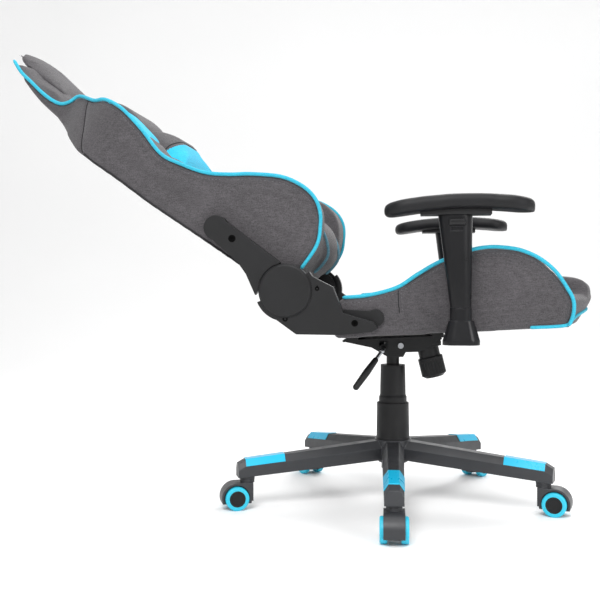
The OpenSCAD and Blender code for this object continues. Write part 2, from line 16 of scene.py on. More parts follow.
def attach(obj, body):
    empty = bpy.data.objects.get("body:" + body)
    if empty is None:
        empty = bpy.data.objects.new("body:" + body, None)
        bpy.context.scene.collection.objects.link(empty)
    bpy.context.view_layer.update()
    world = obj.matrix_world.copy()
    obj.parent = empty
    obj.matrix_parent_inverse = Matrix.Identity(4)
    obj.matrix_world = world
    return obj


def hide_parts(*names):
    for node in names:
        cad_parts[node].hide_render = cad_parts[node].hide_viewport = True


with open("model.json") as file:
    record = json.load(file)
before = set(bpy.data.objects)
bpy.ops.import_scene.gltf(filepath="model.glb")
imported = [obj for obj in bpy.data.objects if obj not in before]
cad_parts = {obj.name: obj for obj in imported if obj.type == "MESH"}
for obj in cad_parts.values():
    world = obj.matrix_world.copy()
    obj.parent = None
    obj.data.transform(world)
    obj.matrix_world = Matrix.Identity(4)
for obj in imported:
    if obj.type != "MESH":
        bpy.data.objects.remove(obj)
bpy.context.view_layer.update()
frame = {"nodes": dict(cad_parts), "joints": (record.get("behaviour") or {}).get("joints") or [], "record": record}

MM = 0.001
SIDES = (("right", -1), ("left", 1))
JOINTS = {j["name"]: j for j in frame["joints"]}
HINGE = Vector(JOINTS["back_recline"]["pos_m"])
RECLINE = math.radians(55.0)
SEAT_SLOPE = math.radians(3.1)
SEAT_Z = 0.374
SIM_FRAMES = 20            # length of the cloth simulations
PRESSURE = 4.0             # inside every padded piece while it is simulated
SEAM_WIDTH = 5.0           # reach of the groove that a sewn line presses in

PIPING_R = 3.7
PIPING_INSET = 1.5         # how far piping sits in from the cushion's side
PIPING_CLEAR = 5.5         # the same where it passes a recliner cover or the recline lever
CUSHION_VOXEL = 7.0        # remesh of the seat and the back
PILLOW_VOXEL = 5.0         # remesh of the head pad and the lumbar pillow

# The back: edge of a wing from its shoulder down to the hinge, then the head's edge from its top down.
WING_EDGE = [(75, 604), (87, 555), (102, 528), (107, 482), (96, 424), (78, 363), (84, 317), (98, 266),
             (122, 224), (146, 190), (175, 138), (184, 96), (180, 62), (165, 37), (141, 19), (105, 3),
             (50, 2)]
HEAD_EDGE = [(57, 775), (45, 746), (40, 715), (35, 684), (34, 656), (39, 633), (54, 617), (75, 604)]
REAR_EDGE = [(-11, 16), (-14, 110), (-14, 195), (-17, 321), (-15, 415), (-17, 500)]
SHOULDER_SEAM = [(79, 575), (60, 561), (27, 535)]
GUTTER_EDGE = [(66, 300), (86, 200), (112, 112), (130, 66), (136, 38), (122, 10), (98, -11), (72, -13),
               (50, -8)]
# Half the back's width, by place along it.
HALF_WIDTHS = [(-20, 262), (470, 262), (515, 250), (560, 215), (600, 178), (640, 165), (776, 165),
               (793, 142), (805, 118), (818, 80), (836, 40)]
GUTTER_Y = 116             # the sewn gutter and its piping
PAD_EDGE_Y = 103           # edge of the middle pad between the shoulders
BACK_MIDDLE_Y = 150        # edge of the middle panel lower down
STRAP_Y = 127              # pillow straps, and the harness slots that they pass through
HEAD_PAD_H = 56            # where the head pad meets the back
PILLOW_H = 62              # where the lumbar pillow meets the back
PILLOW_S = 405
PILLOW_END_Y = 140
PILLOW_SPLIT_S = 399       # line between its grey and cyan halves

# The seat: edge of a bolster from the rear to the foot of its front.
BOLSTER_EDGE = [(-84, 80), (-34, 82), (22, 94), (63, 117), (105, 138), (160, 156), (201, 161), (242, 156),
                (269, 147), (296, 131), (322, 105), (344, 67), (350, 50), (350, 34), (346, 18), (339, 4)]
SEAT_HALF = 258
SEAT_MIDDLE_Y = 150
SEAT_SEAM_X = 24           # upright seam on the seat's side
SEAT_ARC = 538
SEAT_FRONT = 419
SEAT_FOOT_Z = 3.5
# How far the seat's nose is rounded back, by height.
NOSE = [(0, 20), (12, 16), (30, 8), (50, 1), (72, 1), (88, 6), (102, 15)]

# The studio: each light's place, size and power, and the camera.
LIGHTS = {"key": ((-0.3, -2.4, 2.3), 1.3, 66), "fill": ((2.2, -2.0, 1.3), 1.2, 26),
          "top": ((0.2, 0.2, 2.9), 2.2, 44), "rim": ((0.8, 2.0, 2.0), 1.5, 35)}
LIGHT_TARGET = Vector((-0.05, 0, 0.45))
CAMERA_PLACE = Vector((0.0747, -2.0541, 0.4741))
CAMERA_TURN = (0.1358, -0.0162, -0.0018)      # yaw, pitch and roll
CAMERA_LENS = 55.84
CAMERA_SENSOR = 36.0


# ---------------------------------------------------------------- frames

def back_point(h, y, s):
    """A point of the back: h forward, y across, s along it from the hinge, in mm."""
    c, k = math.cos(RECLINE), math.sin(RECLINE)
    return Vector((HINGE.x + (h * c - s * k) * MM, y * MM, HINGE.z + (h * k + s * c) * MM))


def seat_point(x, y, z):
    """A point of the seat: x forward, y across, z up from its base, in mm."""
    c, k = math.cos(SEAT_SLOPE), math.sin(SEAT_SLOPE)
    return Vector(((x * c - z * k) * MM, y * MM, SEAT_Z + (x * k + z * c) * MM))


def back_local(co):
    """World points as (h, y, s) of the back, in mm."""
    c, k = math.cos(RECLINE), math.sin(RECLINE)
    x, z = co[:, 0] - HINGE.x, co[:, 2] - HINGE.z
    return np.stack([x * c + z * k, co[:, 1], z * c - x * k], axis=1) / MM


def seat_local(co):
    """World points as (x, y, z) of the seat, in mm."""
    c, k = math.cos(SEAT_SLOPE), math.sin(SEAT_SLOPE)
    x, z = co[:, 0], co[:, 2] - SEAT_Z
    return np.stack([x * c + z * k, co[:, 1], z * c - x * k], axis=1) / MM


def back_world(h, y, s):
    """Arrays of back places as world points; the reverse of back_local."""
    c, k = math.cos(RECLINE), math.sin(RECLINE)
    return np.stack([HINGE.x + (h * c - s * k) * MM, y * MM, HINGE.z + (h * k + s * c) * MM], axis=1)


def seat_world(x, y, z):
    """Arrays of seat places as world points; the reverse of seat_local."""
    c, k = math.cos(SEAT_SLOPE), math.sin(SEAT_SLOPE)
    return np.stack([(x * c - z * k) * MM, y * MM, SEAT_Z + (x * k + z * c) * MM], axis=1)


def half_width(s):
    """Half the back's width at s along it, in mm."""
    along, half = zip(*HALF_WIDTHS)
    return float(np.interp(s, along, half))


# ---------------------------------------------------------------- materials

def linear(rgb):
    """An sRGB colour in 0-255 as linear RGBA."""
    out = []
    for v in rgb:
        v /= 255
        out.append(v / 12.92 if v <= 0.04045 else ((v + 0.055) / 1.055) ** 2.4)
    return (*out, 1.0)


class Shader:
    """A material with one Principled shader, and the few nodes that these materials share."""

    def __init__(self, name, roughness, metallic=0.0, coat=0.0, sheen=0.0, specular=0.5):
        self.material = bpy.data.materials.new(name)
        self.material.use_nodes = True
        self.tree = self.material.node_tree
        self.shader = self.tree.nodes["Principled BSDF"]
        self.set(self.shader, {"Roughness": roughness, "Metallic": metallic, "Coat Weight": coat,
                               "Sheen Weight": sheen, "Specular IOR Level": specular})
        self.place = self.node("ShaderNodeTexCoord").outputs["Object"]

    def set(self, node, values):
        for key, value in values.items():
            if isinstance(value, bpy.types.NodeSocket):
                self.tree.links.new(value, node.inputs[key])
            else:
                node.inputs[key].default_value = value

    def node(self, kind, values=None, **settings):
        made = self.tree.nodes.new(kind)
        for key, value in settings.items():
            setattr(made, key, value)
        self.set(made, values or {})
        return made

    def noise(self, scale, detail=3.0, rough=0.5, stretch=(1, 1, 1)):
        where = self.node("ShaderNodeMapping", {"Vector": self.place, "Scale": stretch}).outputs["Vector"]
        made = self.node("ShaderNodeTexNoise", {"Vector": where, "Scale": scale, "Detail": detail,
                                                "Roughness": rough})
        return made.outputs["Fac"]

    def range(self, value, low, high, to_low, to_high):
        made = self.node("ShaderNodeMapRange", {"Value": value, "From Min": low, "From Max": high,
                                                "To Min": to_low, "To Max": to_high})
        return made.outputs["Result"]

    def math(self, operation, a, b):
        return self.node("ShaderNodeMath", {0: a, 1: b}, operation=operation).outputs[0]

    def mix(self, amount, a, b):
        made = self.node("ShaderNodeMix", data_type="RGBA")
        self.set(made, {0: amount, 6: a, 7: b})
        return made.outputs[2]

    def bump(self, height, distance, strength, normal=None):
        values = {"Height": height, "Distance": distance, "Strength": strength}
        if normal:
            values["Normal"] = normal
        return self.node("ShaderNodeBump", values).outputs["Normal"]

    def finish(self, colour, normal, roughness=None):
        self.set(self.shader, {"Base Color": colour, "Normal": normal})
        if roughness:
            self.set(self.shader, {"Roughness": roughness})
        return self.material


def cloth_material(name, dark, light, pitch=1.7, depth=0.5, sheen=0.12):
    """Woven upholstery: heathered threads, slow mottling and a plain weave of that pitch."""
    s = Shader(name, 0.92, sheen=sheen)
    speckle = s.range(s.noise(520, 4, 0.7), 0.36, 0.66, 0.0, 1.0)
    slub = s.range(s.noise(90, 3, 0.6, (1, 1, 5)), 0.38, 0.68, 0.0, 1.0)
    mottle = s.range(s.noise(9, 3, 0.55), 0.3, 0.7, 0.0, 1.0)
    mixed = s.math("ADD", s.math("MULTIPLY", speckle, 0.55),
                   s.math("ADD", s.math("MULTIPLY", slub, 0.25), s.math("MULTIPLY", mottle, 0.2)))
    weave = None
    for axis in "XYZ":
        band = s.node("ShaderNodeTexWave", {"Vector": s.place, "Scale": 0.314 / (pitch * MM),
                                            "Distortion": 1.2, "Detail": 2.0, "Detail Scale": 1.5},
                      wave_type="BANDS", bands_direction=axis).outputs["Fac"]
        weave = band if weave is None else s.math("ADD", weave, band)
    shade = s.range(weave, 0.4, 2.6, 0.82, 1.1)
    colour = s.mix(mixed, linear(dark), linear(light))
    tint = s.node("ShaderNodeVectorMath", {0: colour}, operation="SCALE")
    s.set(tint, {"Scale": shade})
    height = s.math("ADD", s.math("MULTIPLY", weave, 0.4), speckle)
    return s.finish(tint.outputs[0], s.bump(height, 0.5 * MM, depth),
                    s.range(mottle, 0, 1, 0.84, 0.97))


def plastic_material(name, dark, light, rough=(0.42, 0.58), grain=900, depth=0.25, edge=1.4, coat=0.0,
                     specular=0.5):
    """Moulded plastic: fine spark texture, softened edges with a painted highlight that lightens them a little."""
    s = Shader(name, rough[0], coat=coat, specular=specular)
    bevel = s.node("ShaderNodeBevel", {"Radius": edge * MM}, samples=4).outputs["Normal"]
    face = s.node("ShaderNodeNewGeometry").outputs["Normal"]
    turn = s.node("ShaderNodeVectorMath", {0: bevel, 1: face}, operation="DOT_PRODUCT").outputs["Value"]
    # Painted highlight: lighter colour where the bevel normal turns away from the face, in noisy patches.
    edge_highlight = s.math("MULTIPLY", s.range(turn, 0.99, 0.8, 0.0, 1.0), s.range(s.noise(60), 0.35, 0.6, 0.4, 1.0))
    cloud = s.range(s.noise(7, 4, 0.6), 0.3, 0.7, 0.0, 1.0)
    base = s.mix(s.math("MULTIPLY", cloud, 0.5), linear(dark), linear(light))
    edge_highlight_colour = tuple(min(255, 1.35 * v + 26) for v in light)
    colour = s.mix(s.math("MULTIPLY", edge_highlight, 0.55), base, linear(edge_highlight_colour))
    fine = s.noise(grain, 3, 0.6)
    return s.finish(colour, s.bump(fine, 0.15 * MM, depth, bevel),
                    s.range(s.noise(35, 4, 0.6), 0.3, 0.7, rough[0], rough[1]))


def metal_material(name, dark, light, rough=(0.22, 0.38), stretch=(1, 1, 30), edge=0.8):
    """Bare metal with fine drawing lines."""
    s = Shader(name, rough[0], metallic=1.0)
    bevel = s.node("ShaderNodeBevel", {"Radius": edge * MM}, samples=4).outputs["Normal"]
    lines = s.noise(60, 5, 0.65, stretch)
    colour = s.mix(lines, linear(dark), linear(light))
    return s.finish(colour, s.bump(lines, 0.05 * MM, 0.3, bevel),
                    s.range(lines, 0.3, 0.7, rough[0], rough[1]))


def skin_material(name, dark, light, rough=(0.44, 0.6)):
    """Moulded polyurethane skin with a fine pebbled grain."""
    s = Shader(name, rough[0], specular=0.28)
    cells = s.node("ShaderNodeTexVoronoi", {"Vector": s.place, "Scale": 620.0},
                   feature="SMOOTH_F1").outputs["Distance"]
    cloud = s.range(s.noise(11, 4, 0.6), 0.3, 0.7, 0.0, 1.0)
    return s.finish(s.mix(cloud, linear(dark), linear(light)), s.bump(cells, 0.25 * MM, 0.35),
                    s.range(cloud, 0, 1, rough[0], rough[1]))


def floor_material():
    """Pale studio floor with a very faint cloudiness."""
    s = Shader("studio_floor", 0.75)
    cloud = s.noise(1.3, 3, 0.5)
    return s.finish(s.mix(cloud, linear((250, 250, 250)), linear((255, 255, 255))),
                    s.bump(s.noise(40), 0.2 * MM, 0.05))


MATERIALS = {
    "nylon_base": plastic_material("nylon_base", (34, 35, 38), (50, 52, 56), rough=(0.36, 0.5),
                                   grain=700, depth=0.3, edge=2.2),
    "accent_plastic": plastic_material("accent_plastic", (2, 176, 218), (8, 190, 230), rough=(0.25, 0.36),
                                       grain=500, depth=0.1, edge=1.2, coat=0.3),
    "accent_tyre": plastic_material("accent_tyre", (32, 176, 205), (48, 190, 216), rough=(0.42, 0.55),
                                    grain=400, depth=0.3, edge=1.5),
    "black_plastic": plastic_material("black_plastic", (14, 14, 15), (24, 24, 26), rough=(0.42, 0.56),
                                      grain=800, depth=0.4, edge=1.8, specular=0.3),
    "post_plastic": plastic_material("post_plastic", (12, 12, 14), (20, 20, 23), rough=(0.26, 0.36),
                                     grain=900, depth=0.15, edge=3.0, coat=0.1, specular=0.22),
    "black_steel": plastic_material("black_steel", (10, 10, 11), (18, 18, 20), rough=(0.35, 0.5),
                                    grain=220, depth=0.35, edge=0.9, specular=0.3),
    "bright_steel": metal_material("bright_steel", (120, 122, 126), (190, 192, 196)),
    "hidden_steel": plastic_material("hidden_steel", (44, 44, 47), (58, 58, 61), rough=(0.4, 0.55),
                                     grain=220, depth=0.3, edge=1.0),
    "seat_fabric": cloth_material("seat_fabric", (36, 34, 36), (86, 83, 86)),
    "dark_fabric": cloth_material("dark_fabric", (16, 16, 17), (34, 34, 36), pitch=1.1, depth=0.35,
                                  sheen=0.05),
    "webbing": cloth_material("webbing", (14, 14, 15), (32, 32, 34), pitch=1.3, depth=0.6, sheen=0.05),
    "pad_skin": skin_material("pad_skin", (8, 8, 10), (15, 15, 18)),
}
CYAN_CLOTH = cloth_material("cyan_cloth", (0, 140, 178), (26, 190, 222), pitch=1.5, depth=0.3, sheen=0.05)
PIPING = cloth_material("piping_cloth", (10, 138, 166), (60, 184, 206), pitch=1.2, depth=0.25, sheen=0.05)
PALE_PIPING = cloth_material("pale_piping", (52, 96, 112), (104, 150, 166), pitch=1.2, depth=0.25,
                             sheen=0.05)
SCREW_BLACK = plastic_material("screw_black", (1, 1, 1), (2, 2, 2), rough=(0.6, 0.7), grain=400, depth=0.2,
                               edge=0.3, specular=0.05)
BLACK_THREAD = cloth_material("black_thread", (12, 12, 13), (40, 40, 42), pitch=0.9, depth=0.4, sheen=0.0)
GREY_THREAD = cloth_material("grey_thread", (70, 68, 72), (120, 118, 122), pitch=0.8, depth=0.4, sheen=0.0)


def dress_cad():
    """Gives each CAD node that stays in view the material of its slot."""
    for part in frame["record"]["subparts"]:
        obj = frame["nodes"][part["node"]]
        obj.data.materials.clear()
        obj.data.materials.append(MATERIALS[part["material_slot"]])


# ---------------------------------------------------------------- mesh helpers

def new_piece(name, verts, faces, materials, body):
    """A shown mesh that rides on a body."""
    mesh = bpy.data.meshes.new(name)
    mesh.from_pydata([tuple(v) for v in verts], [], faces)
    mesh.update()
    obj = bpy.data.objects.new(name, mesh)
    bpy.context.scene.collection.objects.link(obj)
    settle(obj, materials, body)
    return obj


def settle(obj, materials, body):
    """Materials, smooth shading and body of a finished piece."""
    kept = [p.material_index for p in obj.data.polygons]
    obj.data.materials.clear()
    for m in materials:
        obj.data.materials.append(m)
    obj.data.polygons.foreach_set("material_index", kept)
    obj.data.polygons.foreach_set("use_smooth", [True] * len(obj.data.polygons))
    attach(obj, body)


def coordinates(mesh):
    co = np.zeros(len(mesh.vertices) * 3)
    mesh.vertices.foreach_get("co", co)
    return co.reshape(-1, 3)


def normals(mesh):
    n = np.zeros(len(mesh.vertices) * 3)
    mesh.vertex_normals.foreach_get("vector", n)
    return n.reshape(-1, 3)


def set_coordinates(mesh, co):
    mesh.vertices.foreach_set("co", co.ravel())
    mesh.update()


def apply_modifiers(obj):
    """Bakes the object's modifiers into its mesh."""
    shape = obj.evaluated_get(bpy.context.evaluated_depsgraph_get())
    mesh = bpy.data.meshes.new_from_object(shape)
    obj.modifiers.clear()
    obj.data = mesh


def modify(obj, kind, **values):
    made = obj.modifiers.new(kind.lower(), kind)
    for key, value in values.items():
        setattr(made, key, value)
    return made


def cad_copy(name, node):
    """A welded copy of a CAD node's mesh, to work on."""
    mesh = frame["nodes"][node].data.copy()
    mesh.materials.clear()
    work = bmesh.new()
    work.from_mesh(mesh)
    bmesh.ops.remove_doubles(work, verts=work.verts, dist=0.02 * MM)
    work.to_mesh(mesh)
    work.free()
    obj = bpy.data.objects.new(name, mesh)
    bpy.context.scene.collection.objects.link(obj)
    return obj


def smooth_path(points, step=5.0):
    """Catmull-Rom curve through the points, sampled about every step millimetres."""
    pts = [Vector(p) for p in points]
    pts = [2 * pts[0] - pts[1], *pts, 2 * pts[-1] - pts[-2]]
    out = []
    for a, b, c, d in zip(pts, pts[1:], pts[2:], pts[3:]):
        count = max(2, round((c - b).length / (step * MM)))
        for i in range(count):
            t = i / count
            out.append(0.5 * (2 * b + (c - a) * t + (2 * a - 5 * b + 4 * c - d) * t * t
                              + (3 * b - a - 3 * c + d) * t ** 3))
    out.append(pts[-2])
    return out


def distances(co, lines):
    """Each point's distance from the nearest of the lines, in mm."""
    samples = [p for line in lines for p in smooth_path(line, 4.0)]
    tree = KDTree(len(samples))
    for i, p in enumerate(samples):
        tree.insert(p, i)
    tree.balance()
    return np.array([tree.find(p)[2] for p in co]) / MM


def inflate(obj, cap, held):
    """Cloth simulation that fills the piece out between its held vertices, at most cap millimetres."""
    start = coordinates(obj.data)
    group = obj.vertex_groups.new(name="held")
    group.add([int(i) for i in np.nonzero(held)[0]], 1.0, "REPLACE")
    cloth = modify(obj, "CLOTH")
    settings = cloth.settings
    settings.quality = 4
    settings.mass = 0.3
    settings.tension_stiffness = 20
    settings.compression_stiffness = 20
    settings.bending_stiffness = 0.6
    settings.vertex_group_mass = "held"
    settings.use_pressure = True
    settings.uniform_pressure_force = PRESSURE
    settings.effector_weights.gravity = 0
    cloth.collision_settings.use_collision = False
    cloth.point_cache.frame_end = SIM_FRAMES
    for i in range(1, SIM_FRAMES + 1):
        bpy.context.scene.frame_set(i)
    shape = obj.evaluated_get(bpy.context.evaluated_depsgraph_get())
    end = coordinates(shape.data)
    obj.modifiers.clear()
    bpy.context.scene.frame_set(1)
    move = end - start
    size = np.linalg.norm(move, axis=1)
    share = np.minimum(1.0, cap * MM / np.maximum(size, 1e-9))
    set_coordinates(obj.data, start + move * share[:, None])
    obj.vertex_groups.clear()


def carve(obj, lines, depth):
    """Pulls the surface in along sewn lines, by at most depth millimetres."""
    co = coordinates(obj.data)
    pull = depth * np.exp(-(distances(co, lines) / SEAM_WIDTH) ** 2)
    set_coordinates(obj.data, co - normals(obj.data) * (pull * MM)[:, None])


def upholster(name, node, body, materials, seams, fixed, voxel, rounds, cap, depth=2.5, paint=None,
              swell=None, reshape=None):
    """A padded piece made from a CAD solid: remeshed, rounded, filled out by cloth simulation, then sewn.

    reshape moves its points, swell lifts them, and fixed says which ones the simulation holds, besides those
    near a seam. paint gives the material of each face.
    """
    obj = cad_copy(name, node)
    modify(obj, "REMESH", mode="VOXEL", voxel_size=voxel * MM)
    modify(obj, "SMOOTH", factor=0.6, iterations=rounds)
    apply_modifiers(obj)
    if reshape:
        set_coordinates(obj.data, reshape(coordinates(obj.data)))
    if swell:
        co = coordinates(obj.data)
        set_coordinates(obj.data, co + normals(obj.data) * (swell(co) * MM)[:, None])
    co = coordinates(obj.data)
    inflate(obj, cap, fixed(co) | (distances(co, seams) < 0.8 * voxel))
    modify(obj, "SUBSURF", levels=1, render_levels=1)
    apply_modifiers(obj)
    carve(obj, seams, depth)
    if paint:
        centres = np.array([p.center for p in obj.data.polygons])
        facing = np.array([p.normal for p in obj.data.polygons])
        obj.data.polygons.foreach_set("material_index", paint(centres, facing).astype(np.int32))
    settle(obj, materials, body)
    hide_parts(node)
    return obj


def on_surface(obj, points, lift=0.0):
    """The points moved to the nearest place on the piece, and lifted off it by that many millimetres."""
    out = []
    for p in points:
        _, place, normal, _ = obj.closest_point_on_mesh(p)
        out.append(place + normal * lift * MM)
    return out


def heading(path, i):
    """The path's direction at its point i."""
    return (path[min(i + 1, len(path) - 1)] - path[max(i - 1, 0)]).normalized()


def ring_faces(rings, sides):
    """Quads that join rings of that many vertices each."""
    faces = []
    for i in range(rings - 1):
        for k in range(sides):
            n = (k + 1) % sides
            faces.append((i * sides + k, i * sides + n, (i + 1) * sides + n, (i + 1) * sides + k))
    return faces


def end_faces(rings, sides):
    """The two faces that close the first and the last ring."""
    return [tuple(range(sides - 1, -1, -1)), tuple((rings - 1) * sides + k for k in range(sides))]


def tube_mesh(path, radius, sides):
    """Vertices and faces of a round tube along a path, with narrowed, closed ends."""
    verts = []
    count = len(path)
    side = Vector((0, 1, 0))
    for i, p in enumerate(path):
        ahead = heading(path, i)
        side = side - ahead * side.dot(ahead)
        if side.length < 1e-4:
            side = ahead.orthogonal()
        side.normalize()
        other = ahead.cross(side)
        r = radius * (0.55 if i in (0, count - 1) else 1.0) * MM
        for k in range(sides):
            a = 2 * math.pi * k / sides
            verts.append(p + r * (math.cos(a) * side + math.sin(a) * other))
    return verts, ring_faces(count, sides) + end_faces(count, sides)


def tube(name, points, radius, material, body, surface=None, lift=0.0, sides=12, step=5.0):
    """Piping, cord or seam bead along the points, laid on a surface if one is given."""
    path = smooth_path(points, step)
    if surface:
        path = smooth_path(on_surface(surface, path, lift), step)
    verts, faces = tube_mesh(path, radius, sides)
    return new_piece(name, verts, faces, [material], body)


def stitches(name, lines, material, body, surface, step=7.0, length=4.4, radius=0.55):
    """Rows of short stitches, pressed a little into the surface."""
    verts, faces = [], []
    for line in lines:
        path = on_surface(surface, smooth_path(line, 1.0), 0.15)
        gone, due = 0.0, 0.0
        for a, b in zip(path, path[1:]):
            gone += (b - a).length / MM
            if gone >= due and (b - a).length > 1e-6:
                along = (b - a).normalized() * length * MM / 2
                v, f = tube_mesh([a - along, a, a + along], radius, 6)
                faces += [tuple(i + len(verts) for i in face) for face in f]
                verts += v
                due = gone + step
    return new_piece(name, verts, faces, [material], body)


def ribbon(name, points, across, width, thickness, material, body, step=4.0):
    """A flat strap along the points, with rounded edges and a slight crown."""
    path = smooth_path(points, step)
    across = Vector(across).normalized()
    profile = [(-1, -0.3), (-0.94, -0.5), (0, -0.5), (0.94, -0.5), (1, -0.3), (1, 0.3), (0.94, 0.5),
               (0, 0.62), (-0.94, 0.5), (-1, 0.3)]
    verts = []
    for i, p in enumerate(path):
        up = heading(path, i).cross(across).normalized()
        for a, b in profile:
            verts.append(p + across * a * width / 2 * MM + up * b * thickness * MM)
    faces = ring_faces(len(path), len(profile)) + end_faces(len(path), len(profile))
    return new_piece(name, verts, faces, [material], body)


def lining(name, node, place, xs, ys, height, body, holes=(), step=8.0, thickness=1.6):
    """A thin backing cloth with faint wrinkles, that stands for a flat CAD panel."""
    nx, ny = round((xs[1] - xs[0]) / step), round((ys[1] - ys[0]) / step)
    verts, faces = [], []
    for i in range(nx + 1):
        for j in range(ny + 1):
            x, y = xs[0] + (xs[1] - xs[0]) * i / nx, ys[0] + (ys[1] - ys[0]) * j / ny
            edge = min(i, nx - i, j, ny - j) / 3
            wave = math.sin(x / 31 + 1.7 * math.sin(y / 47)) * math.sin(y / 23 + x / 90)
            verts.append(place(x, y, height + 0.5 * wave * min(1.0, edge)))
    for i in range(nx):
        for j in range(ny):
            x, y = xs[0] + (xs[1] - xs[0]) * (i + 0.5) / nx, ys[0] + (ys[1] - ys[0]) * (j + 0.5) / ny
            if not any(a <= x <= b and c <= y <= d for a, b, c, d in holes):
                at = i * (ny + 1) + j
                faces.append((at, at + ny + 1, at + ny + 2, at + 1))
    obj = new_piece(name, verts, faces, [MATERIALS["dark_fabric"]], body)
    modify(obj, "SOLIDIFY", thickness=thickness * MM, offset=0.0)
    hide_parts(node)
    return obj


# ---------------------------------------------------------------- back

def wing_line(edge, side, inset=0.0):
    """A line of the back's side in the world; inset pulls it towards the middle."""
    return [back_point(h, side * (half_width(s) - inset), s) for h, s in edge]


def gutter_line(side):
    return [back_point(h, side * GUTTER_Y, s) for h, s in GUTTER_EDGE]


def back_seams():
    """Sewn lines of the back: wing, head and rear edges, shoulder seams, panel edges and gutters."""
    lines = []
    for _, side in SIDES:
        lines.append(wing_line(WING_EDGE, side))
        lines.append(wing_line(HEAD_EDGE, side))
        lines.append(wing_line(REAR_EDGE, side))
        lines.append(wing_line([*SHOULDER_SEAM, (-18, 500)], side))
        lines.append([back_point(62, side * BACK_MIDDLE_Y, s) for s in (110, 200, 330)])
        lines.append([back_point(h, side * PAD_EDGE_Y, s)
                      for h, s in ((104, 488), (110, 530), (100, 578), (75, 622))])
        lines.append(gutter_line(side))
        lines.append([back_point(90, side * y, s) for y, s in ((240, 430), (200, 412), (155, 405))])
    return lines


def paint_back(centres, facing):
    """Cyan shoulder panels on the back's front, beside its middle pad."""
    h, y, s = back_local(centres).T
    front = facing[:, 0] * math.cos(RECLINE) + facing[:, 2] * math.sin(RECLINE)
    edge = np.array([half_width(v) for v in s]) - 9
    inside = (np.abs(y) > PAD_EDGE_Y + 1) & (np.abs(y) < edge)
    return inside & (s > 408) & (s < 592) & (h > 40) & (front > 0.5)


def back_fixed(co):
    """Points that the simulation holds: the rear, the harness slots, and under the plates and the pillow."""
    h, y, s = back_local(co).T
    slot = (np.abs(np.abs(y) - STRAP_Y) < 24) & (np.abs(s - 555) < 50)
    plate = (s < 215) & (np.abs(y) > 250) & (h < 70)
    under_pillow = (h > 56) & (h < 66) & (np.abs(y) < BACK_MIDDLE_Y) & (s > 320) & (s < 490)
    return (h < -8) | slot | plate | under_pillow


def back_swell(co):
    """The bulge of the middle pad's foot, in mm."""
    h, y, s = back_local(co).T
    low = np.clip((170 - s) / 110, 0, 1) * np.clip((h - 30) / 40, 0, 1)
    return 15 * np.clip(1 - (y / 112) ** 2, 0, 1) * low


def build_back():
    """The back's upholstery with its piping, zips and seams."""
    pad = upholster("back_upholstery", "back_cushion", "back", [MATERIALS["seat_fabric"], CYAN_CLOTH],
                    back_seams(), back_fixed, voxel=CUSHION_VOXEL, rounds=7, cap=7.0,
                    paint=paint_back, swell=back_swell)
    for name, side in SIDES:
        edge = wing_line(HEAD_EDGE[:-1] + WING_EDGE[:-3], side, PIPING_INSET)
        edge += wing_line(WING_EDGE[-3:], side, PIPING_CLEAR)
        tube(f"back_piping_{name}", edge, PIPING_R, PIPING, "back")
        zip_line = wing_line([(-6, 30), *REAR_EDGE[1:-1], (-12, 498)], side, 3.0)
        tube(f"back_zip_{name}", zip_line, 2.6, BLACK_THREAD, "back", pad, 0.5)
        tube(f"back_gutter_piping_{name}", gutter_line(side), PIPING_R - 0.6, PALE_PIPING, "back")
        seam = wing_line([*SHOULDER_SEAM, (-14, 503)], side)
        tube(f"shoulder_seam_{name}", seam, 1.1, BLACK_THREAD, "back", pad, 0.2)
        rows = [wing_line([(h - 11, s - 3) for h, s in WING_EDGE[1:-4]], side, -3)]
        rows.append([p + Vector((0.006, 0, 0.003)) for p in seam])
        stitches(f"back_stitches_{name}", rows, GREY_THREAD, "back", pad)
    build_head_pad()
    build_pillow()
    build_straps()
    lining("back_lining", "back_rear_panel", lambda s, y, h: back_point(h, y, s), (40, 480), (-200, 200),
           -15.4, "back")


def build_head_pad():
    """The head pad, thinned towards its foot and shortened at its top."""
    def fixed(co):
        return back_local(co)[:, 0] < HEAD_PAD_H

    def shape(co):
        h, y, s = back_local(co).T
        low = np.clip((765 - s) / 100, 0, 1)
        top = np.clip((s - 735) / 90, 0, 1)
        h = np.where(h > HEAD_PAD_H, HEAD_PAD_H + (h - HEAD_PAD_H) * (1 - 0.42 * low), h)
        return back_world(h, y, s - 10 * top ** 1.5)

    lines = [[back_point(86, y, s) for y, s in ((0, 690), (0, 745), (0, 815))]]
    upholster("head_pad", "head_cushion", "back", [MATERIALS["seat_fabric"]], lines, fixed,
              voxel=PILLOW_VOXEL, rounds=10, cap=10.0, depth=2.0, reshape=shape)


def build_straps():
    """Straps that go from the pillow through the harness slots and down behind the back."""
    way = [(64, 468), (64, 480), (54, 485.5), (49.6, 490), (49.4, 508), (46, 514), (36, 517), (-8, 517),
           (-17, 515), (-19.2, 506), (-19.2, 470), (-19.2, 402)]
    for name, side in SIDES:
        strap = ribbon(f"pillow_strap_{name}", [back_point(h, side * STRAP_Y, s) for h, s in way], (0, 1, 0),
                       20, 2.2, MATERIALS["webbing"], "back")
        if side < 0:
            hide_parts("pillow_straps")


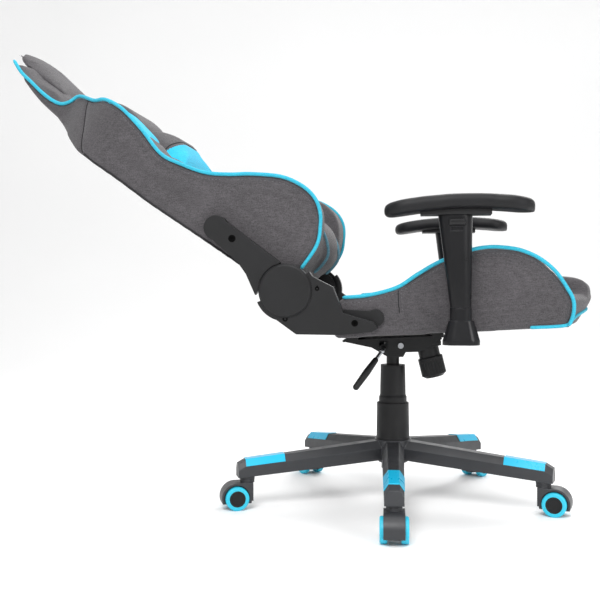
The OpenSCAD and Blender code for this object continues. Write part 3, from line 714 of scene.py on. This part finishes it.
def build_pillow():
    """The two-tone lumbar pillow."""
    def fixed(co):
        return back_local(co)[:, 0] < PILLOW_H + 2

    def swell(co):
        h, _, s = back_local(co).T
        return 7 * np.clip((h - 70) / 20, 0, 1) * np.clip((s - 380) / 30, 0, 1)

    def paint(centres, facing):
        h, _, s = back_local(centres).T
        return s < PILLOW_SPLIT_S - 0.12 * (h - PILLOW_H)

    ends = [[back_point(PILLOW_H + 56 * math.cos(a), side * PILLOW_END_Y, PILLOW_S + 64 * math.sin(a))
             for a in np.linspace(-1.45, 1.45, 9)] for _, side in SIDES]
    across = [(112, -120), (119, -60), (120, 0), (119, 60), (112, 120)]
    split = [[back_point(h, y, PILLOW_SPLIT_S) for h, y in across]]
    pillow = upholster("lumbar_pillow_soft", "lumbar_pillow", "back", [MATERIALS["seat_fabric"], CYAN_CLOTH],
                       ends + split, fixed, voxel=PILLOW_VOXEL, rounds=12, cap=9.0,
                       depth=2.0, paint=paint, swell=swell)
    seam = [(70, -142), (98, -136), (112, -115), *across[1:-1], (112, 115), (98, 136), (70, 142)]
    tube("pillow_seam", [back_point(h, y, PILLOW_SPLIT_S) for h, y in seam], 1.2, BLACK_THREAD, "back",
         pillow, 0.2)


# ---------------------------------------------------------------- seat

def arc_x(y):
    """The seat's front edge at y across, in mm."""
    return SEAT_FRONT - SEAT_ARC + np.sqrt(SEAT_ARC ** 2 - y ** 2)


def bolster_line(side, inset=0.0, drop=0.0):
    return [seat_point(x, side * (SEAT_HALF - inset), z - drop) for x, z in BOLSTER_EDGE]


def seat_seams():
    """Sewn lines of the seat: bolsters, panel edges, side seams, front edge and two cross seams."""
    lines = []
    for _, side in SIDES:
        lines.append(bolster_line(side))
        lines.append([seat_point(x, side * SEAT_MIDDLE_Y, z)
                      for x, z in ((-60, 80), (40, 86), (120, 92), (250, 96), (350, 98))])
        lines.append([seat_point(SEAT_SEAM_X, side * SEAT_HALF, z) for z in (92, 74, 58, 42)])
    lines.append([seat_point(arc_x(y) - 6, y, 60) for y in np.linspace(-250, 250, 11)])
    for x, z in ((292, 92), (110, 83)):
        lines.append([seat_point(x, y, z) for y in (-145, -60, 0, 60, 145)])
    return lines


def seat_fixed(co):
    """Points that the simulation holds: the underside, the rear, and under the recliner plates."""
    x, y, z = seat_local(co).T
    under = (z < 12) | ((z < 42) & (np.abs(y) < 240))
    return under | (x < -95) | ((x < -20) & (np.abs(y) > 250) & (z < 60))


def seat_nose(co):
    """Rounds the seat's nose back, most at its foot and its top, and less towards the bolsters."""
    x, y, z = seat_local(co).T
    near = np.clip((x - arc_x(y) + 70) / 60, 0, 1) * (1 - np.clip(np.abs(y) / SEAT_HALF, 0, 1) ** 6)
    return seat_world(x - near * np.interp(z, *zip(*NOSE)), y, z)


def front_piping_line():
    """Piping along the seat's foot: up over the middle of its nose, and back along both sides."""
    sweep = [seat_point(arc_x(y) - 12, y, SEAT_FOOT_Z + 26 * math.sqrt(1 - (y / 250) ** 2))
             for y in np.linspace(-244, 244, 21)]
    ends = [[seat_point(x, side * (SEAT_HALF - 2), SEAT_FOOT_Z) for x in (268, 298, 326)]
            for _, side in SIDES]
    return ends[0] + sweep + ends[1][::-1]


def build_seat():
    """The seat's upholstery with its piping, seams and underside."""
    pad = upholster("seat_upholstery", "seat_cushion", "seat", [MATERIALS["seat_fabric"]], seat_seams(),
                    seat_fixed, voxel=CUSHION_VOXEL, rounds=7, cap=8.0, reshape=seat_nose)
    for name, side in SIDES:
        edge = bolster_line(side, PIPING_CLEAR)[:3] + bolster_line(side, PIPING_INSET)[3:]
        tube(f"seat_piping_{name}", edge, PIPING_R, PIPING, "seat")
        seam = [seat_point(SEAT_SEAM_X, side * SEAT_HALF, z) for z in (90, 74, 58, 44)]
        tube(f"seat_seam_{name}", seam, 1.0, BLACK_THREAD, "seat", pad, 0.2)
        rows = [bolster_line(side, -3, 10)[:-2], [p + Vector((0.006, 0, 0)) for p in seam]]
        stitches(f"seat_stitches_{name}", rows, GREY_THREAD, "seat", pad)
    tube("seat_piping_front", front_piping_line(), PIPING_R - 0.4, PIPING, "seat",
         pad, 1.2)
    build_seat_underside()


def build_seat_underside():
    """Lining with openings for the tilt plate and the arm posts, and the webbing above it."""
    holes = [(x - 1, x + 25, -90, 90) for x in (-96, 84)]
    holes += [(118, 152, side * 217 - 12, side * 217 + 12) for _, side in SIDES]
    lining("seat_lining", "seat_bottom_panel", seat_point, (-98, 342), (-236, 236), 1.5, "seat", holes)
    strips, pitch, width = 6, 62, 45
    for i in range(strips):
        x = -50 + pitch * i + width / 2
        line = [seat_point(x, y, 32 - 1.2 * math.cos(y / 137)) for y in range(-215, 216, 43)]
        strip = ribbon(f"seat_web_{i + 1}", line, (1, 0, 0.054), width, 1.8, MATERIALS["webbing"], "seat",
                       12.0)
        if i == 0:
            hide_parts("seat_webbing")


# ---------------------------------------------------------------- arms

def build_arm_pads():
    """The moulded arm pads, with their edges rounded over."""
    for name, _ in SIDES:
        obj = cad_copy(f"arm_pad_soft_{name}", f"arm_pad_{name}")
        modify(obj, "REMESH", mode="VOXEL", voxel_size=4.0 * MM)
        modify(obj, "SMOOTH", factor=0.7, iterations=40)
        modify(obj, "SUBSURF", levels=1, render_levels=1)
        apply_modifiers(obj)
        settle(obj, [MATERIALS["pad_skin"]], f"arm_{name}")
        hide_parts(f"arm_pad_{name}")


# ---------------------------------------------------------------- screws

def screw(name, place, side, radius, body):
    """A domed socket screw that faces sideways."""
    # Share of the radius, height in mm, and whether the ring is the hexagonal socket's.
    rings = [(0.0, -0.9, True), (0.46, -0.9, True), (0.5, 0.55, True), (0.66, 0.7, False),
             (0.88, 0.45, False), (1.0, 0.0, False), (1.0, -1.6, False)]
    count = 24
    verts = []
    for share, out, six in rings:
        for k in range(count):
            a = 2 * math.pi * k / count
            turn = (a + math.pi / 6) % (math.pi / 3) - math.pi / 6
            r = share * radius * (math.cos(math.pi / 6) / math.cos(turn) if six else 1.0)
            verts.append(place + Vector((math.cos(a) * r, side * out, math.sin(a) * r)) * MM)
    faces = ring_faces(len(rings), count)
    if side > 0:
        faces = [quad[::-1] for quad in faces]
    obj = new_piece(name, verts, faces, [SCREW_BLACK], body)
    obj.data.polygons.foreach_set("use_smooth", [False] * len(obj.data.polygons))
    return obj


def build_screws():
    """Screws that hold the recliner covers, a little proud of their faces."""
    upper, lower = 281.3, 0.2853
    for name, side in SIDES:
        screw(f"screw_upper_{name}", back_point(23, side * upper, 144), side, 7.2, "back")
        screw(f"screw_front_{name}", Vector((-0.062, side * lower, 0.401)), side, 6.4, "seat")
        screw(f"screw_disc_{name}", Vector((HINGE.x, side * lower, HINGE.z - 0.0545)), side, 5.0, "seat")
    screw("screw_top_right", Vector((-0.134, -lower, 0.467)), -1, 4.2, "seat")


# ---------------------------------------------------------------- stage

def build_floor():
    """Pale floor that sweeps up behind the chair."""
    half, bend_at, bend_r = 9.0, 2.5, 2.0
    profile = [(y, 0.0) for y in (-8, -4, 0, bend_at)]
    profile += [(bend_at + bend_r * math.sin(a), bend_r - bend_r * math.cos(a))
                for a in np.linspace(0.1, math.pi / 2, 14)]
    profile += [(bend_at + bend_r, 4.0), (bend_at + bend_r, 8.0)]
    verts = [(x, y, z) for y, z in profile for x in (-half, half)]
    faces = [(2 * i, 2 * i + 1, 2 * i + 3, 2 * i + 2) for i in range(len(profile) - 1)]
    mesh = bpy.data.meshes.new("studio_floor")
    mesh.from_pydata(verts, [], faces)
    mesh.materials.append(floor_material())
    mesh.polygons.foreach_set("use_smooth", [True] * len(mesh.polygons))
    floor = bpy.data.objects.new("studio_floor", mesh)
    bpy.context.scene.collection.objects.link(floor)


def build_lights():
    """White surroundings and four soft lights, shown without a film-like tone curve."""
    bpy.context.scene.view_settings.view_transform = "Standard"
    world = bpy.data.worlds.new("studio")
    bpy.context.scene.world = world
    world.use_nodes = True
    world.node_tree.nodes["Background"].inputs["Color"].default_value = (1, 1, 1, 1)
    world.node_tree.nodes["Background"].inputs["Strength"].default_value = 0.7
    for name, (place, size, power) in LIGHTS.items():
        data = bpy.data.lights.new(name, "AREA")
        data.energy = power
        data.size = size
        lamp = bpy.data.objects.new(name, data)
        lamp.location = place
        lamp.rotation_euler = (LIGHT_TARGET - Vector(place)).to_track_quat("-Z", "Y").to_euler()
        bpy.context.scene.collection.objects.link(lamp)


def build_camera():
    """The camera, at the photograph's viewing angle."""
    yaw, pitch, roll = CAMERA_TURN
    ahead = Vector((-math.sin(yaw) * math.cos(pitch), math.cos(yaw) * math.cos(pitch), math.sin(pitch)))
    right = Vector((math.cos(yaw), math.sin(yaw), 0))
    up = right.cross(ahead)
    turned = math.cos(roll) * right + math.sin(roll) * up
    up = math.cos(roll) * up - math.sin(roll) * right
    data = bpy.data.cameras.new("camera")
    data.sensor_width = CAMERA_SENSOR
    data.lens = CAMERA_LENS
    camera = bpy.data.objects.new("camera", data)
    place = Matrix((turned, up, -ahead)).transposed().to_4x4()
    place.translation = CAMERA_PLACE
    camera.matrix_world = place
    bpy.context.scene.collection.objects.link(camera)
    bpy.context.scene.camera = camera


build_camera()
build_floor()
build_lights()
dress_cad()
build_seat()
build_back()
build_arm_pads()
build_screws()
